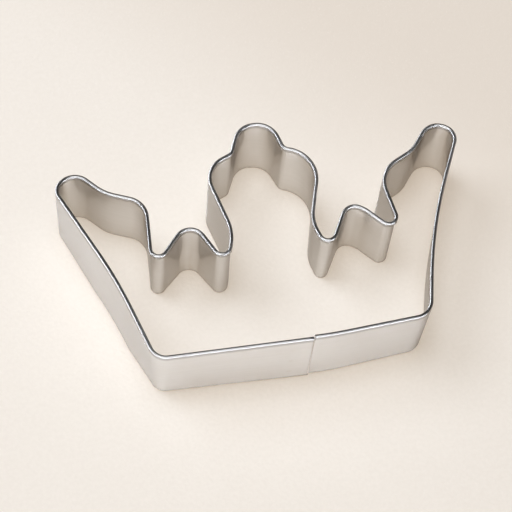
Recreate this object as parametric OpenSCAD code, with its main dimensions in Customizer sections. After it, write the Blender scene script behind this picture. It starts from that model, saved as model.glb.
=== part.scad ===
// Crown cookie cutter: one bent steel strip with a folded rim, lapped and spot welded in its base.
// The strip rests on its plain cutting edge at z = 0, and the folded rim is on top.
// x runs along the crown's base, y from the base to the points of the crown.
// All lengths are in millimetres and all angles in degrees.

/* [Part] */
// Sub-part to draw

/* [Crown] */
// Width over the two outer tips
crown_width = 100; // [80:1:160]
// Height of the strip, from the cutting edge to the top of the rim
strip_height = 25; // [18:0.5:40]

/* [Steel strip] */
// Thickness of the steel sheet
sheet_thickness = 0.4; // [0.3:0.05:0.5]
// Slot left between the two layers of the folded rim
fold_slot = 0.1; // [0.06:0.02:0.2]
// Height of the folded rim
fold_height = 1.6; // [1.2:0.1:3]

/* [Lap seam] */
// Length over which the two ends of the strip lie on each other
lap_length = 10; // [8:0.5:14]
// Free play between the two lapped ends
lap_play = 0.04; // [0.02:0.01:0.06]
// Gap between the two ends of the folded rim
rim_gap = 0.3; // [0.2:0.1:0.6]
// Space between the inner end and the fold above it
tongue_play = 0.3; // [0.2:0.1:1]

/* [Spot welds] */
// Width of one weld
weld_diameter = 3; // [2:0.25:4]
// Depth of a weld in each of the two sheets
weld_depth = 0.2; // [0.1:0.05:0.25]
// Height of the lowest weld, as a share of the strip's height
weld_lower_share = 0.18; // [0.15:0.01:0.25]
// Height of the middle weld, as a share of the strip's height
weld_middle_share = 0.47; // [0.42:0.01:0.52]
// Height of the highest weld, as a share of the strip's height
weld_upper_share = 0.76; // [0.68:0.01:0.8]

/* [Smoothness] */
// Largest turn of one facet in a bend
facet_turn = 10; // [6:1:15]
// Greatest length of one facet
facet_length = 6; // [3:1:10]
// Facets across the folded rim
fold_facets = 6; // [4:2:8]
// Facets around a weld
weld_facets = 36; // [24:12:60]

/* [Hidden] */

steel_colour = [0.80, 0.79, 0.77];
weld_colour = [0.62, 0.61, 0.60];

// Where the strip starts, at the visible edge of the lap, as shares of the crown's width
seam_shares = [0.05, -0.29];
// How far beyond the lap the base starts to bend, as a share of the crown's width
base_bend_share = 0.045;
// Radius of that bend, as a share of the crown's width
base_bend_radius_share = 0.8;

// One row for each bend, clockwise from the seam: place in x, place in y, radius,
// and how far the cutting edge stands out beyond the rim there. All are shares of the crown's width.
bend_shares = [
    // front left corner and the slightly hollow left side
    [-0.330, -0.280, 0.040, -0.006],
    [-0.390, -0.065, 1.200, 0.008],
    // left tip, turned with two bends, and its shoulder
    [-0.505, 0.195, 0.030, 0],
    [-0.450, 0.235, 0.045, 0],
    [-0.385, 0.165, 0.110, 0],
    [-0.289, 0.125, 0.055, 0],
    // outer valley, small lobe and inner valley of the left half
    [-0.302, -0.058, 0.020, 0],
    [-0.191, 0.066, 0.038, -0.006],
    [-0.123, -0.070, 0.020, -0.002],
    [-0.092, 0.010, 0.120, -0.002],
    // middle lobe: left shoulder, notch, two bends of the top, notch, right shoulder
    [-0.135, 0.190, 0.060, 0],
    [-0.060, 0.220, 0.020, 0],
    [-0.030, 0.290, 0.050, -0.002],
    [0.050, 0.290, 0.055, -0.003],
    [0.070, 0.215, 0.020, 0],
    [0.155, 0.185, 0.080, 0],
    // inner valley, two bends of the small lobe and outer valley of the right half
    [0.102, 0.010, 0.100, 0.002],
    [0.130, -0.075, 0.020, 0.001],
    [0.197, 0.046, 0.030, -0.001],
    [0.236, 0.022, 0.080, -0.001],
    [0.319, -0.069, 0.020, -0.001],
    // shoulder of the right tip and the tip, turned with two bends
    [0.290, 0.115, 0.070, 0],
    [0.385, 0.160, 0.080, 0],
    [0.445, 0.235, 0.045, 0],
    [0.505, 0.190, 0.035, 0],
    // the slightly hollow right side and the front right corner
    [0.390, -0.050, 1.200, 0.008],
    [0.340, -0.275, 0.045, -0.005],
];

rim_radius = sheet_thickness + fold_slot / 2;
slot_radius = fold_slot / 2;
tongue_height = strip_height - fold_height - tongue_play;
lap_step = sheet_thickness + lap_play;

// Middle line of the rim: first end, all bends, and the second end inside the first
seam = seam_shares * crown_width;
bends = bend_shares * crown_width;
first_run = unit(place(bends[0]) - seam);
into_crown = inward(first_run);
lap_start = seam + into_crown * lap_step;
base_bend = lap_start - first_run * base_bend_share * crown_width;
base_bend_row = concat(base_bend, [base_bend_radius_share * crown_width, 0]);
rim_end = lap_start - first_run * rim_gap;
rows = concat([concat(seam, [0, 0])], bends, [base_bend_row], [concat(rim_end, [0, 0])]);
// The inner end leans as much as the outer end that covers it
tongue_lean = bends[0][3] * lap_length / (norm(place(bends[0]) - seam) - setback(1));
stations = concat(
    [station(seam, heading(0), 0)],
    [for (i = [1 : len(rows) - 2]) each bend_stations(i)],
    run_stations(len(rows) - 1)
);

// Two points for each place across the folded sheet: its outer skin and its inner skin,
// each as the distance into the crown and the height
section = concat(
    [for (z = [0, tongue_height]) [[-rim_radius, z], [-rim_radius + sheet_thickness, z]]],
    [for (k = [0 : fold_facets]) let (a = 180 - 180 * k / fold_facets)
        [fold_point(rim_radius, a), fold_point(slot_radius, a)]],
    [[[rim_radius, strip_height - fold_height], [slot_radius, strip_height - fold_height]]]
);

function unit(v) = v / norm(v);
function place(row) = [row.x, row.y];
function inward(v) = [v.y, -v.x];
function heading(i) = unit(place(rows[i + 1]) - place(rows[i]));
function course(v) = atan2(v.y, v.x);
function along(a) = [cos(a), sin(a)];
function turn(i) = let (a = heading(i - 1), b = heading(i)) atan2(a.x * b.y - a.y * b.x, a * b);
function setback(i) = rows[i][2] * tan(abs(turn(i)) / 2);
function fold_point(r, a) = [r * cos(a), strip_height - rim_radius + r * sin(a)];

// A station is a place on the middle line of the rim, the direction into the crown, and the lean
function station(p, v, lean) = [p, inward(v), lean];

// Stations of the straight run before row i, without its first one
function run_stations(i) = let (
    a = place(rows[i - 1]) + heading(i - 1) * (i > 1 ? setback(i - 1) : 0),
    b = place(rows[i]) - heading(i - 1) * (i < len(rows) - 1 ? setback(i) : 0),
    facets = ceil(norm(b - a) / facet_length)
) [for (k = [1 : facets]) let (s = k / facets)
    station(a + (b - a) * s, heading(i - 1), rows[i - 1][3] + (rows[i][3] - rows[i - 1][3]) * s)];

// Stations of the bend at row i, without its first one
function arc_stations(i) = let (
    angle = turn(i),
    side = sign(angle),
    r = rows[i][2],
    start = course(heading(i - 1)),
    centre = place(rows[i]) - heading(i - 1) * setback(i) - side * r * inward(heading(i - 1)),
    facets = ceil(max(abs(angle) / facet_turn, r * abs(angle) * PI / 180 / facet_length))
) [for (k = [1 : facets]) let (v = along(start + angle * k / facets))
    station(centre + side * r * inward(v), v, rows[i][3])];

function bend_stations(i) = concat(run_stations(i), arc_stations(i));

// Point of the sheet at a station: the lean grows from nothing at the rim to all of it at the cutting edge
function sheet_point(s, p) = let (
    lean = s[2] * (1 - p.y / strip_height),
    xy = s[0] + s[1] * (p.x - lean)
) [xy.x, xy.y, p.y];

// Two triangles for the four-cornered patch a b c d
function patch(a, b, c, d) = [[c, b, a], [d, c, a]];

// The whole sheet as one closed skin, with the second end running on below the fold as a tongue
module bent_sheet() {
    across = len(section);
    last = len(stations) - 1;
    tongue_end = station(lap_start + first_run * lap_length, first_run, tongue_lean);
    tongue = len(stations) * across;
    points = concat(
        [for (s = stations) for (pair = section) for (p = pair) sheet_point(s, p)],
        [for (j = [0, 1]) for (p = section[j]) sheet_point(tongue_end, p)]
    );
    faces = concat(
        // outer and inner skin
        [for (i = [0 : last - 1]) for (j = [0 : across - 2])
            each patch(outer(i, j), outer(i, j + 1), outer(i + 1, j + 1), outer(i + 1, j))],
        [for (i = [0 : last - 1]) for (j = [0 : across - 2])
            each patch(inner(i, j + 1), inner(i, j), inner(i + 1, j), inner(i + 1, j + 1))],
        // cutting edge and edge of the fold
        [for (i = [0 : last - 1])
            each patch(inner(i, 0), outer(i, 0), outer(i + 1, 0), inner(i + 1, 0))],
        [for (i = [0 : last - 1])
            let (j = across - 1)
            each patch(outer(i, j), inner(i, j), inner(i + 1, j), outer(i + 1, j))],
        // first end, and the second end above the tongue
        [for (j = [0 : across - 2]) [outer(0, j + 1), inner(0, j + 1), inner(0, j), outer(0, j)]],
        [for (j = [1 : across - 2]) [inner(last, j + 1), outer(last, j + 1), outer(last, j), inner(last, j)]],
        // tongue
        [
            [2 * tongue, 2 * tongue + 2, outer(last, 1), outer(last, 0)],
            [2 * tongue + 3, 2 * tongue + 1, inner(last, 0), inner(last, 1)],
            [2 * tongue + 1, 2 * tongue, outer(last, 0), inner(last, 0)],
            [2 * tongue + 2, 2 * tongue + 3, inner(last, 1), outer(last, 1)],
            [2 * tongue + 3, 2 * tongue + 2, 2 * tongue, 2 * tongue + 1]
        ]
    );
    polyhedron(points, faces, convexity = 20);
}

// Numbers of the two points at station i, place j
function outer(i, j) = 2 * (i * len(section) + j);
function inner(i, j) = outer(i, j) + 1;

// A weld joins the facing halves of the two lapped sheets
module weld(height_share) {
    middle = lap_start + first_run * lap_length / 2;
    depth = 2 * weld_depth + lap_play;
    inset = -rim_radius + sheet_thickness - lap_step - weld_depth;
    translate([middle.x, middle.y, strip_height * height_share])
        rotate([0, 0, course(into_crown)])
            translate([inset, 0, 0])
                rotate([0, 90, 0])
                    cylinder(h = depth, d = weld_diameter, $fn = weld_facets);
}

// Strip of sheet steel with a round pocket in each lapped end for every weld
module crown_strip() {
    color(steel_colour)
        difference() {
            bent_sheet();
            weld(weld_lower_share);
            weld(weld_middle_share);
            weld(weld_upper_share);
        }
}

// Lowest weld of the lap seam
module spot_weld_lower() {
    color(weld_colour)
        weld(weld_lower_share);
}

// Middle weld of the lap seam
module spot_weld_middle() {
    color(weld_colour)
        weld(weld_middle_share);
}

// Highest weld of the lap seam, below the folded rim
module spot_weld_upper() {
    color(weld_colour)
        weld(weld_upper_share);
}

crown_strip();
spot_weld_lower();
spot_weld_middle();
spot_weld_upper();
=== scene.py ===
import math

import bmesh
import bpy
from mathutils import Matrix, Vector


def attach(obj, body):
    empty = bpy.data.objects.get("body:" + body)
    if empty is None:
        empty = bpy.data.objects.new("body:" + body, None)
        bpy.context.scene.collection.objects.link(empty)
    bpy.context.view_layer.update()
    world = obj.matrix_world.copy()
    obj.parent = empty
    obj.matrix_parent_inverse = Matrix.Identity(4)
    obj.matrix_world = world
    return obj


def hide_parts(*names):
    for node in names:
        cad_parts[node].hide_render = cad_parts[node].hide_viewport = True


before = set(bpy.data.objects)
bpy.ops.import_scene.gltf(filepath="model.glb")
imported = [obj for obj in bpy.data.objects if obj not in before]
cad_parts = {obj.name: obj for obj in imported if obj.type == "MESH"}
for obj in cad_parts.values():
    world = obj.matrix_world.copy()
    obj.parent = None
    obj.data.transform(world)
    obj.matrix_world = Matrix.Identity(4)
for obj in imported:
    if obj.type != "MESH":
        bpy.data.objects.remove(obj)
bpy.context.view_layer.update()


# The photographer's view: a long lens above the cutter and in front of its base, turned a little to
# the left, so that the base of the crown runs up to the right.
camera_data = bpy.data.cameras.new("camera")
camera_data.lens = 152.66
camera_data.sensor_width = 36
camera_data.clip_start = 0.05
camera = bpy.data.objects.new("camera", camera_data)
camera.location = (-0.06303, -0.20234, 0.50731)
camera.rotation_euler = [math.radians(a) for a in (22.859, -2.612, -10.306)]
bpy.context.scene.collection.objects.link(camera)
bpy.context.scene.camera = camera
bpy.context.scene.view_settings.view_transform = "Standard"


# The table: a sheet of warm white paper, with a faint tooth and faint clouds in its colour.
# It lies a hair below the cutting edge.
class Flow:
    """An output of a node, which Python's own signs can work with."""

    def __init__(self, tree, socket=None):
        self.tree = tree
        self.socket = socket

    def node(self, kind, settings=None, inputs=None, output=0):
        made = self.tree.nodes.new(kind)
        for name, value in (settings or {}).items():
            setattr(made, name, value)
        for name, value in (inputs or {}).items():
            socket = made.inputs[name]
            if isinstance(value, Flow):
                self.tree.links.new(value.socket, socket)
            else:
                socket.default_value = value
        return Flow(self.tree, made.outputs[output])

    def maths(self, operation, *values):
        values = dict(enumerate((self, *values)))
        return self.node("ShaderNodeMath", {"operation": operation}, values)

    def __add__(self, other):
        return self.maths("ADD", other)

    def __mul__(self, other):
        return self.maths("MULTIPLY", other)

    def __sub__(self, other):
        return self.maths("SUBTRACT", other)

    def __rsub__(self, other):
        return self * -1 + other

    __radd__ = __add__
    __rmul__ = __mul__

    def between(self, low, high):
        """0 below low, 1 above high and smooth between them."""
        inputs = {"Value": self, "From Min": low, "From Max": high}
        return self.node("ShaderNodeMapRange", {"interpolation_type": "SMOOTHSTEP"}, inputs)

    def mix(self, low, high):
        """The colour low where this is 0, and high where it is 1."""
        inputs = {"Factor": self, 6: low, 7: high}
        return self.node("ShaderNodeMix", {"data_type": "RGBA"}, inputs, 2)

    def stretched(self, scale):
        """A vector with each direction scaled."""
        return self.node("ShaderNodeVectorMath", {"operation": "MULTIPLY"}, {0: self, 1: scale})

    def along(self, direction):
        """How far a vector reaches in a direction."""
        inputs = {0: self, 1: direction}
        return self.node("ShaderNodeVectorMath", {"operation": "DOT_PRODUCT"}, inputs, "Value")

    def noise(self, scale, detail):
        return self.node("ShaderNodeTexNoise", None, {"Vector": self, "Scale": scale, "Detail": detail})

    def relief(self, strength, distance, normal=None):
        """The normal of a surface that this value raises, or sinks where the distance is below 0."""
        inputs = {"Strength": strength, "Distance": distance, "Height": self}
        if normal:
            inputs["Normal"] = normal
        return self.node("ShaderNodeBump", None, inputs)


def new_material(name):
    material = bpy.data.materials.new(name)
    material.use_nodes = True
    return material, material.node_tree.nodes["Principled BSDF"], Flow(material.node_tree)


def feed(shader, **sockets):
    for name, value in sockets.items():
        socket = shader.inputs[name.replace("_", " ")]
        if isinstance(value, Flow):
            value.tree.links.new(value.socket, socket)
        else:
            socket.default_value = value


def show_mix(material, share, first, second):
    """Covers the material's surface with two shaders, the second one by its share."""
    flow = Flow(material.node_tree)
    both = {0: share, 1: Flow(flow.tree, first.outputs[0]), 2: Flow(flow.tree, second.outputs[0])}
    mixed = flow.node("ShaderNodeMixShader", None, both)
    flow.tree.links.new(mixed.socket, flow.tree.nodes["Material Output"].inputs["Surface"])


PAPER_GLOW = 0.5
PAPER_WIDTH = 3
PAPER_GAP = 0.00002

paper, lit, flow = new_material("warm_paper")
place = flow.node("ShaderNodeTexCoord", output="Object")
clouds = place.noise(40, 4)
fibres = place.noise(1000, 5)
tooth = place.noise(1300, 3)
shade = clouds.between(0.3, 0.7) * 0.12 + fibres.between(0.25, 0.75) * 0.5 + 0.2
# painted shade: the paper's colour, and that of its glow below, is darker towards the back right, where
# the lamps' light falls off
painted_falloff = place.along((0.7, 0.7, 0)).between(0.010, 0.075)
colour = painted_falloff.mix(shade.mix((0.86, 0.80, 0.725, 1), (0.91, 0.85, 0.775, 1)), (0.79, 0.715, 0.635, 1))
bump = (tooth + fibres).relief(0.6, 0.0001)
feed(lit, Base_Color=colour, Roughness=0.9, Specular_IOR_Level=0.1, Normal=bump)
# the camera and the steel see half of the paper as evenly bright, which keeps its shadows light
rays = flow.node("ShaderNodeLightPath", output="Is Camera Ray")
rays = rays + flow.node("ShaderNodeLightPath", output="Is Glossy Ray")
glow = flow.tree.nodes.new("ShaderNodeEmission")
# painted shade: the glow too is darker towards the back right
colour = painted_falloff.mix(shade.mix((0.925, 0.775, 0.615, 1), (0.975, 0.825, 0.665, 1)), (0.855, 0.70, 0.54, 1))
feed(glow, Color=colour)
show_mix(paper, rays * PAPER_GLOW, lit, glow)

bpy.ops.object.select_all(action="DESELECT")
bpy.ops.mesh.primitive_plane_add(size=PAPER_WIDTH, location=(0, 0, -PAPER_GAP))
floor = bpy.context.object
floor.name = "paper_floor"
bpy.ops.object.transform_apply(location=True)
floor.data.materials.append(paper)


# The studio: one soft lamp straight above and one further back on the left light the paper. The steel
# reflects a bright patch of ceiling, a row of low windows in front and on the left, and dark walls,
# which draw the dark lines along its rim.
world = bpy.data.worlds.new("studio")
bpy.context.scene.world = world
world.use_nodes = True
world.cycles_visibility.diffuse = False
flow = Flow(world.node_tree)
way = flow.node("ShaderNodeTexCoord", output="Generated")


def near(way, direction, edge, full):
    """1 up to the angle full from a direction and 0 beyond the angle edge, both in degrees."""
    cosine = way.along(Vector(direction).normalized())
    return cosine.between(math.cos(math.radians(edge)), math.cos(math.radians(full)))


level_way = flow.node("ShaderNodeVectorMath", {"operation": "NORMALIZE"}, {0: way.stretched((1, 1, 0))})
height = flow.node("ShaderNodeSeparateXYZ", None, {0: way}, "Z")
low = height.between(math.sin(math.radians(11)), math.sin(math.radians(5)))
ceiling = near(way, (-0.20, -0.30, 0.93), 28, 20)
windows = near(level_way, (-0.80, -0.60, 0), 112, 92) * low
light = ceiling.mix((0.07, 0.069, 0.068, 1), (2.2, 2.22, 2.25, 1))
light = windows.mix(light, (11.7, 12.5, 14.0, 1))
flow.tree.links.new(light.socket, flow.tree.nodes["Background"].inputs["Color"])

for name, lamp_place, width, watts in [
    ("lamp_above", (-0.045, 0.045, 0.90), 0.35, 5.4),
    ("lamp_behind", (-0.42, 0.30, 0.75), 0.50, 5.3),
]:
    lamp_data = bpy.data.lights.new(name, "AREA")
    lamp_data.shape = "DISK"
    lamp_data.size = width
    lamp_data.energy = watts
    lamp_data.color = (0.79, 0.88, 1.0)
    lamp = bpy.data.objects.new(name, lamp_data)
    lamp.location = lamp_place
    lamp.rotation_euler = (-Vector(lamp_place)).to_track_quat("-Z", "Y").to_euler()
    lamp.visible_glossy = False
    bpy.context.scene.collection.objects.link(lamp)


# The strip: one strip of bright steel sheet. Its top edge is folded over inwards as a round rim, and
# it is then bent round the whole crown, from the visible end of the lap in the base back to the end
# that lies behind it.
STRIP_HEIGHT = 0.025
SHEET = 0.0004
FOLD_HEIGHT = 0.0016
BASE_BEND = 0.0045
BASE_BEND_RADIUS = 0.080
RIM_RADIUS = 0.00045
TONGUE_HEIGHT = 0.0231
LAP_LENGTH = 0.010
LAP_STEP = 0.00044
RIM_GAP = 0.0003
EDGE_ROUND = 0.00006
END_ROUND = 0.00012
LONGEST_FACE = 0.0015
SHEARED_AND_SHADED_BAND = 0.0004
WELD_RADIUS = 0.0015
WELD_HEIGHTS = (0.18, 0.47, 0.76)
WELD_DENT = 0.00006
MARK_REACH = 0.003
WALL_BOW = 0.0005
BRUSHED_SHARE = 0.28
LARGEST_TURN = math.radians(4)
WALL_STEP = 0.003
WALL_STEPS = 7
RIM_STEPS = 16
TOUCH = SHEET / 9
SAME_HEIGHT = 1e-7

seam = Vector((0.0050, -0.0290))
bends = [
    # front left corner and the slightly hollow left side
    (-0.0330, -0.0280, 0.0040, -0.0006),
    (-0.0390, -0.0065, 0.1200, 0.0008),
    # left tip, turned with two bends, and its shoulder
    (-0.0505, 0.0195, 0.0030, 0),
    (-0.0450, 0.0235, 0.0045, 0),
    (-0.0385, 0.0165, 0.0110, 0),
    (-0.0289, 0.0125, 0.0055, 0),
    # outer valley, small lobe and inner valley of the left half
    (-0.0302, -0.0058, 0.0020, 0),
    (-0.0191, 0.0066, 0.0038, -0.0006),
    (-0.0123, -0.0070, 0.0020, -0.0002),
    (-0.0092, 0.0010, 0.0120, -0.0002),
    # middle lobe: left shoulder, notch, two bends of the top, notch, right shoulder
    (-0.0135, 0.0190, 0.0060, 0),
    (-0.0060, 0.0220, 0.0020, 0),
    (-0.0030, 0.0290, 0.0050, -0.0002),
    (0.0050, 0.0290, 0.0055, -0.0003),
    (0.0070, 0.0215, 0.0020, 0),
    (0.0155, 0.0185, 0.0080, 0),
    # inner valley, two bends of the small lobe and outer valley of the right half
    (0.0102, 0.0010, 0.0100, 0.0002),
    (0.0130, -0.0075, 0.0020, 0.0001),
    (0.0197, 0.0046, 0.0030, -0.0001),
    (0.0236, 0.0022, 0.0080, -0.0001),
    (0.0319, -0.0069, 0.0020, -0.0001),
    # shoulder of the right tip and the tip, turned with two bends
    (0.0290, 0.0115, 0.0070, 0),
    (0.0385, 0.0160, 0.0080, 0),
    (0.0445, 0.0235, 0.0045, 0),
    (0.0505, 0.0190, 0.0035, 0),
    # the slightly hollow right side and the front right corner
    (0.0390, -0.0050, 0.1200, 0.0008),
    (0.0340, -0.0275, 0.0045, -0.0005),
]


def inward(heading):
    return Vector((heading.y, -heading.x))


first_heading = (Vector(bends[0][:2]) - seam).normalized()
lap_start = seam + inward(first_heading) * LAP_STEP
base_bend = lap_start - first_heading * BASE_BEND
rim_end = lap_start - first_heading * RIM_GAP
corners = [seam] + [Vector(b[:2]) for b in bends] + [base_bend, rim_end]
radii = [0] + [b[2] for b in bends] + [BASE_BEND_RADIUS, 0]
leans = [0] + [b[3] for b in bends] + [0, 0]
headings = [(b - a).normalized() for a, b in zip(corners, corners[1:])]
turns = [0] + [a.angle_signed(b) for a, b in zip(headings, headings[1:])] + [0]
setbacks = [r * math.tan(abs(a) / 2) for r, a in zip(radii, turns)]


def select(kind, test):
    """Selects the vertices, edges or faces of the strip that pass the test, and nothing else."""
    bpy.ops.mesh.select_all(action="DESELECT")
    mesh = bmesh.from_edit_mesh(bpy.context.object.data)
    bpy.context.tool_settings.mesh_select_mode = [kind == k for k in ("verts", "edges", "faces")]
    for part in getattr(mesh, kind):
        if test(part):
            part.select_set(True)
    mesh.select_flush_mode()
    bmesh.update_edit_mesh(bpy.context.object.data)


def extrude(move):
    bpy.ops.mesh.extrude_region_move(TRANSFORM_OT_translate={"value": move})


def lean_section(heading, change):
    """Leans the selected section further out at its cutting edge."""
    mesh = bmesh.from_edit_mesh(bpy.context.object.data)
    out = inward(heading) * -change
    for vertex in mesh.verts:
        if vertex.select:
            vertex.co += out.to_3d() * (1 - vertex.co.z / STRIP_HEIGHT)
    bmesh.update_edit_mesh(bpy.context.object.data)


# section of the folded sheet, upright across the start of the strip
across = inward(first_heading)
foot = seam + across * (SHEET / 2 - RIM_RADIUS)
bpy.ops.object.select_all(action="DESELECT")
bpy.ops.mesh.primitive_plane_add(
    size=SHEET,
    location=(foot.x, foot.y, SHEET / 2),
    rotation=(math.pi / 2, 0, math.atan2(across.y, across.x)),
)
strip = bpy.context.object
strip.name = "crown_strip_steel"
bpy.ops.object.transform_apply(location=True, rotation=True)
bpy.ops.object.mode_set(mode="EDIT")
top = SHEET
wall_steps = [WALL_STEP] * WALL_STEPS
wall_steps += [TONGUE_HEIGHT - SHEET - WALL_STEP * WALL_STEPS, STRIP_HEIGHT - RIM_RADIUS - TONGUE_HEIGHT]
for step in wall_steps:
    select("edges", lambda e: all(abs(v.co.z - top) < SAME_HEIGHT for v in e.verts))
    extrude((0, 0, step))
    top += step
select("edges", lambda e: all(abs(v.co.z - top) < SAME_HEIGHT for v in e.verts))
bpy.ops.mesh.spin(
    steps=RIM_STEPS,
    angle=-math.pi,
    center=(seam.x, seam.y, STRIP_HEIGHT - RIM_RADIUS),
    axis=(first_heading.x, first_heading.y, 0),
)
extrude((0, 0, RIM_RADIUS - FOLD_HEIGHT))

# the sheared edges are slightly rounded
fold_edge = STRIP_HEIGHT - FOLD_HEIGHT
rim_middle = seam.dot(across)


def on_sheared_edge(vertex):
    in_fold = abs(vertex.co.z - fold_edge) < TOUCH and vertex.co.xy.dot(across) > rim_middle
    return vertex.co.z < TOUCH or in_fold


select("verts", on_sheared_edge)
bpy.ops.mesh.bevel(offset=EDGE_ROUND, segments=2, affect="VERTICES")

# straight runs are drawn out, and bends are spun round their middles
bpy.ops.mesh.select_all(action="SELECT")
for i in range(1, len(corners)):
    heading = headings[i - 1]
    length = (corners[i] - corners[i - 1]).length - setbacks[i - 1] - setbacks[i]
    steps = math.ceil(length / LONGEST_FACE)
    for k in range(steps):
        extrude((heading * length / steps).to_3d())
        lean_section(heading, (leans[i] - leans[i - 1]) / steps)
    if turns[i]:
        side = inward(heading) * math.copysign(radii[i], turns[i])
        middle = corners[i] - heading * setbacks[i] + side
        arc = abs(turns[i]) * radii[i]
        bpy.ops.mesh.spin(
            steps=max(math.ceil(abs(turns[i]) / LARGEST_TURN), math.ceil(arc / LONGEST_FACE)),
            angle=turns[i],
            center=middle.to_3d(),
            axis=(0, 0, 1),
        )

# the end that shows in the base has its outer edge rounded by the shears
end_plane = first_heading.dot(seam)
bead_middle = STRIP_HEIGHT - RIM_RADIUS


def on_end_edge(vertex):
    out = (vertex.co.xy - seam).dot(across)
    if vertex.co.z > bead_middle:
        out = -math.hypot(out, vertex.co.z - bead_middle)
    return abs(vertex.co.xy.dot(first_heading) - end_plane) < TOUCH and out < TOUCH - RIM_RADIUS


select("edges", lambda e: all(on_end_edge(v) for v in e.verts))
bpy.ops.mesh.bevel(offset=END_ROUND, segments=3, affect="EDGES")

# below the fold, the second end runs on behind the first as a tongue
cap_side = first_heading.dot(rim_end)


def below_fold(vertex):
    return abs(vertex.co.xy.dot(first_heading) - cap_side) < TOUCH and vertex.co.z < TONGUE_HEIGHT + TOUCH


select("faces", lambda f: all(below_fold(v) for v in f.verts))
tongue = LAP_LENGTH + RIM_GAP
extrude((first_heading * tongue).to_3d())
first_run = (corners[1] - seam).length - setbacks[1]
lean_section(first_heading, bends[0][3] * LAP_LENGTH / first_run)
bpy.ops.mesh.select_all(action="SELECT")
bpy.ops.mesh.remove_doubles(threshold=SHEET / 400)
bpy.ops.mesh.normals_make_consistent(inside=False)
bpy.ops.object.mode_set(mode="OBJECT")
bpy.ops.object.shade_smooth_by_angle(angle=math.radians(35))

steel, bright, flow = new_material("rolled_steel")
place = flow.node("ShaderNodeTexCoord", output="Object")
height = flow.node("ShaderNodeSeparateXYZ", None, {0: place}, "Z")
streaks = place.stretched((45, 45, 2600)).noise(1, 3)
clouds = place.stretched((1, 1, 0.6)).noise(90, 3)
waves = place.stretched((1, 1, 0.35)).noise(130, 2)
shade = streaks.between(0.3, 0.7) * 0.5 + clouds.between(0.3, 0.7) * 0.5
colour = shade.mix((0.80, 0.775, 0.745, 1), (0.86, 0.84, 0.81, 1))

# the rolled rim is duller than the sheet
rim = height.between(STRIP_HEIGHT - FOLD_HEIGHT - SHEET / 2, STRIP_HEIGHT - FOLD_HEIGHT)
colour = rim.mix(colour, (0.60, 0.585, 0.57, 1))

# the welds show inside the crown as shallow dents, each with a straw-coloured ring of heat;
# they are measured from a point inside the crown, so that nothing of them is on the outside
lap_middle = lap_start + first_heading * LAP_LENGTH / 2
mark_middle = lap_middle + inward(first_heading) * (SHEET - RIM_RADIUS + MARK_REACH)
from_weld = None
for share in WELD_HEIGHTS:
    centre = (mark_middle.x, mark_middle.y, STRIP_HEIGHT * share)
    distance = flow.node("ShaderNodeVectorMath", {"operation": "DISTANCE"}, {0: place, 1: centre}, "Value")
    from_weld = from_weld.maths("MINIMUM", distance) if from_weld else distance


def mark(outer, inner):
    """1 within the radius inner of a weld and 0 beyond the radius outer, on the inside of the lap."""
    return from_weld.between(math.hypot(outer, MARK_REACH), math.hypot(inner, MARK_REACH))


dent = mark(WELD_RADIUS, WELD_RADIUS * 0.7)
heat = mark(WELD_RADIUS * 1.7, WELD_RADIUS) * (1 - dent)
colour = dent.mix((heat * 0.7).mix(colour, (0.55, 0.43, 0.28, 1)), (0.58, 0.56, 0.54, 1))

# the sheared edges, below and at the end that shows, are matt; their dark brown colour is painted shade,
# standing for the contact shadow along the foot and the dark gap at the end that shows
from_end = place.along(first_heading.to_3d()) - end_plane
from_rim = place.along(across.to_3d()) - rim_middle
end_face = from_end.between(SHEET / 2, SHEET / 4) * from_end.between(-SHEET / 2, -SHEET / 4)
end_face = end_face * from_rim.between(SHEET / 2 - RIM_RADIUS, SHEET / 4 - RIM_RADIUS)
sheared_and_shaded = height.between(SHEARED_AND_SHADED_BAND, SHEARED_AND_SHADED_BAND / 2).maths("MAXIMUM", end_face)
# painted shade: dark brown along the foot and at the end that shows
colour = sheared_and_shaded.mix(colour, (0.40, 0.34, 0.28, 1))

# rolling the rim has pulled the wall below it slightly hollow
flat = 1 - rim
hollow = (height * (1 / (STRIP_HEIGHT - FOLD_HEIGHT))).maths("MINIMUM", 1).maths("POWER", 2)
bump = hollow.relief(1, -WALL_BOW)
bump = (waves * flat).relief(0.45, 0.0002, bump)
bump = (streaks * flat).relief(0.15, 0.00001, bump)
bump = dent.relief(1, -WELD_DENT, bump)
rough = shade * 0.05 + sheared_and_shaded * 0.25 + dent * 0.2
feed(bright, Base_Color=colour, Roughness=rough + 0.12, Normal=bump)
feed(bright, Metallic=1, Anisotropic=0.5, Anisotropic_Rotation=0.25, Specular_Tint=(0.50, 0.475, 0.45, 1))
brushed = flow.tree.nodes.new("ShaderNodeBsdfPrincipled")
feed(brushed, Base_Color=colour, Roughness=rough + 0.42, Normal=bump)
feed(brushed, Metallic=1, Anisotropic=0.96, Anisotropic_Rotation=0.25)
show_mix(steel, BRUSHED_SHARE, bright, brushed)
strip.data.materials.clear()
strip.data.materials.append(steel)
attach(strip, "root")
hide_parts("crown_strip")


# The spot welds: three round spots of fused steel between the lapped sheets. They are cast grey,
# with fine cells where the metal froze.
fused, shader, flow = new_material("fused_steel")
place = flow.node("ShaderNodeTexCoord", output="Object")
cells = flow.node("ShaderNodeTexVoronoi", None, {"Vector": place, "Scale": 6000}, "Distance")
clouds = place.noise(900, 3)
bump = cells.relief(0.5, 0.00003)
colour = clouds.between(0.3, 0.7).mix((0.50, 0.47, 0.44, 1), (0.66, 0.64, 0.62, 1))
feed(shader, Base_Color=colour, Roughness=cells * 0.2 + 0.4, Metallic=1, Normal=bump)
for name in ("spot_weld_lower", "spot_weld_middle", "spot_weld_upper"):
    for material_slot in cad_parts[name].material_slots:
        material_slot.material = fused
